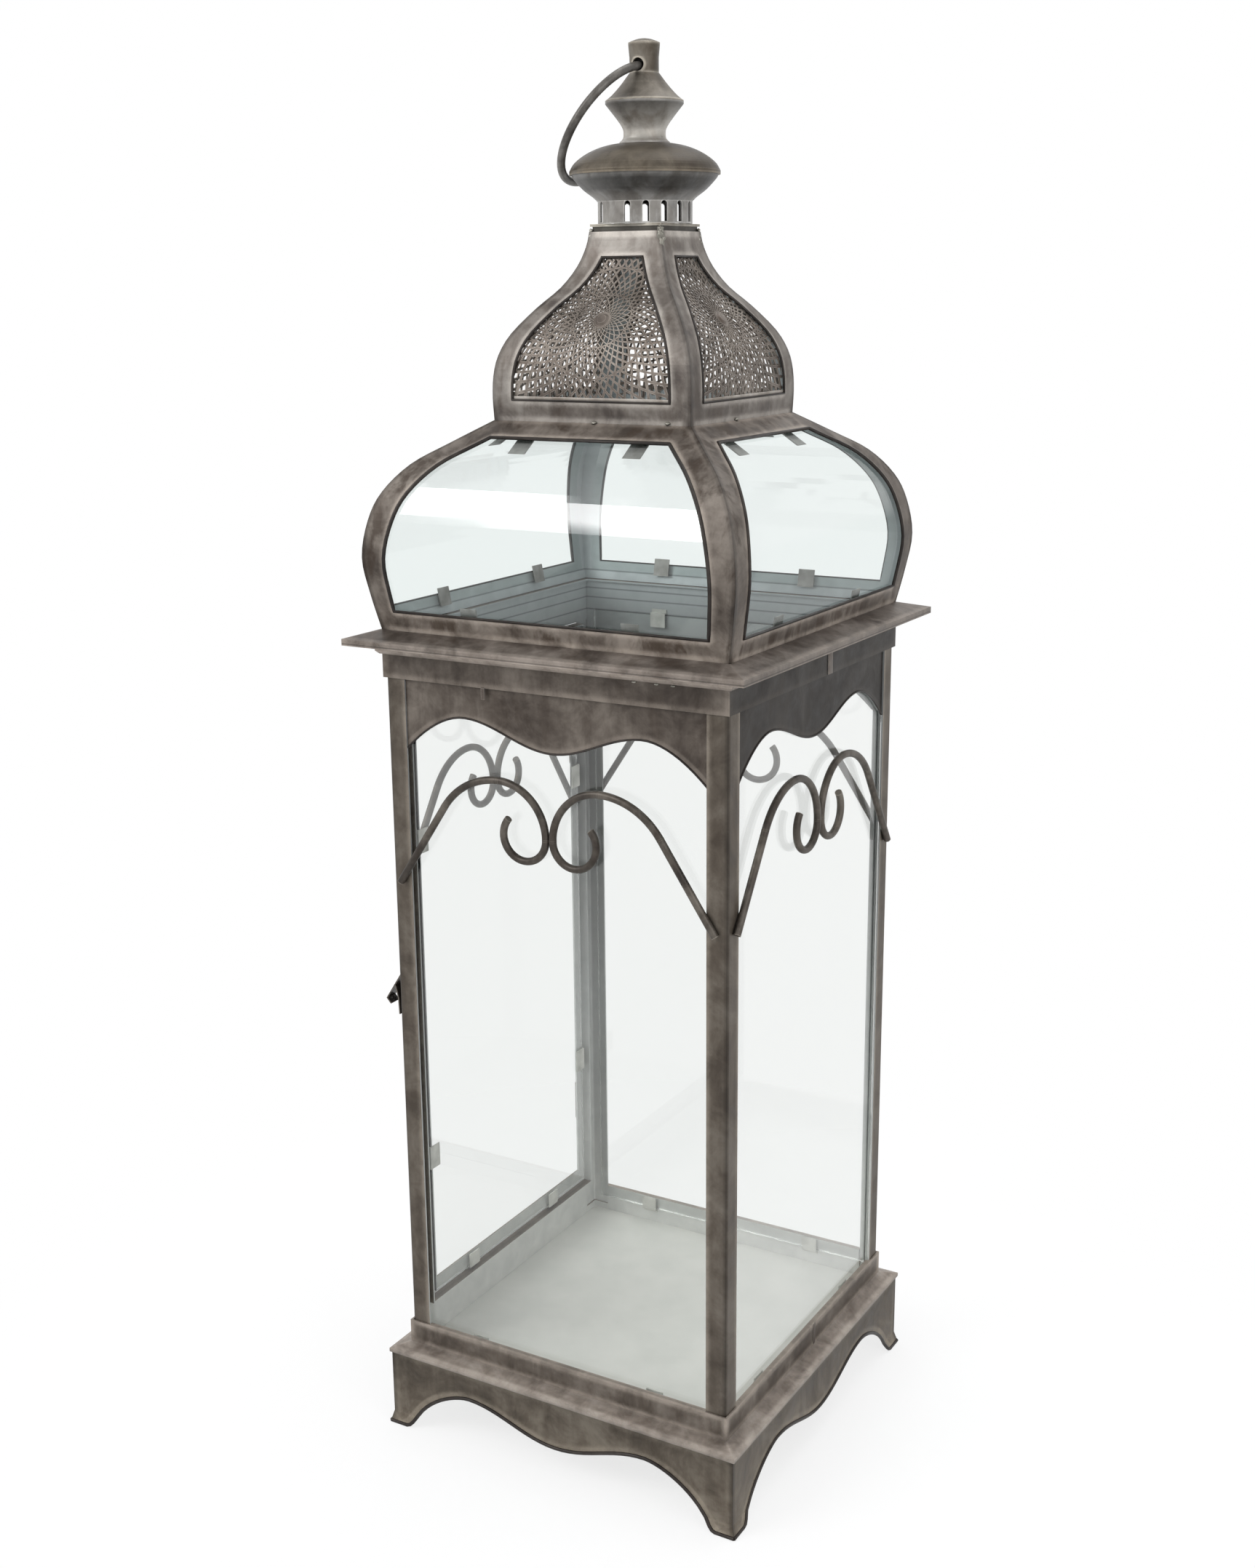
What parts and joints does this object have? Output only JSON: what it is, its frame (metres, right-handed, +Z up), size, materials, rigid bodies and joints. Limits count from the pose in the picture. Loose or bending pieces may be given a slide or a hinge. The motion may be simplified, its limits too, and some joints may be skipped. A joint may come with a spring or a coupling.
{
  "type": "floor lantern",
  "caption": "Standing lantern with a skirted base, a glazed square body with a hinged door and wire scrolls, a bulging glazed roof, a pierced dome, a vented cap and a ring handle",
  "frame": {"origin": "on the floor, under the middle of the body", "axes": "+Z up, -Y out of the front, +X to the right; the door is on the -X side, hinged at the back"},
  "size_m": [0.287, 0.287, 0.9308],
  "materials": {
    "zinc": "aged, rubbed",
    "zinc_dark": "aged, satin",
    "bronze": "aged, satin",
    "floor_sheet": "matte",
    "clip_steel": "satin",
    "glass": "clear",
    "screen": "pierced, aged"
  },
  "bodies": {
    "lantern": {"skirt_front": "zinc", "skirt_right": "zinc", "skirt_back": "zinc", "skirt_left": "zinc", "base_ledge": "zinc", "floor_plate": "floor_sheet", "rail_front": "zinc", "rail_right": "zinc", "rail_back": "zinc", "door_sill": "zinc", "post_front_left": "zinc", "post_front_right": "zinc", "post_back_right": "zinc", "post_back_left": "zinc", "frieze": "zinc", "valance_front": "zinc", "valance_right": "zinc", "valance_back": "zinc", "door_header": "zinc", "cornice": "zinc", "pane_front": "glass", "pane_right": "glass", "pane_back": "glass", "pane_clips": "clip_steel", "scrolls_front": "zinc_dark", "scrolls_right": "zinc_dark", "scrolls_back": "zinc_dark", "hinge_post_leaves": "zinc_dark", "hinge_pins": "zinc_dark", "latch_catch": "zinc_dark", "roof_panel_front": "zinc", "roof_panel_right": "zinc", "roof_panel_back": "zinc", "roof_panel_left": "zinc", "roof_pane_front": "glass", "roof_pane_right": "glass", "roof_pane_back": "glass", "roof_pane_left": "glass", "roof_clips": "clip_steel", "dome_panel_front": "zinc", "dome_panel_right": "zinc", "dome_panel_back": "zinc", "dome_panel_left": "zinc", "dome_screens": "screen", "dome_lid": "zinc", "vent_collar": "bronze", "cap": "bronze", "finial_cup": "bronze", "finial_spire": "bronze"},
    "door": {"door_frame": "zinc", "door_pane": "glass", "door_clips": "clip_steel", "door_valance": "zinc", "door_scrolls": "zinc_dark", "hinge_door_leaves": "zinc_dark", "latch_rivet": "zinc_dark"},
    "latch": {"latch_lever": "zinc_dark"},
    "ring": {"ring_handle": "zinc_dark"}
  },
  "joints": [
    {"name": "door_hinge", "type": "hinge", "parent": "lantern", "child": "door", "pos_m": [-0.1265, 0.109, 0.3], "axis": [0, 0, -1], "range_deg": [0, 110]},
    {"name": "latch_turn", "type": "hinge", "parent": "door", "child": "latch", "pos_m": [-0.1247, -0.1025, 0.3216], "axis": [-1, 0, 0], "range_deg": [0, 90]},
    {"name": "ring_swing", "type": "hinge", "parent": "lantern", "child": "ring", "pos_m": [0, 0, 0.9152], "axis": [-0.0349, 0.9994, 0], "range_deg": [0, 285]}
  ]
}
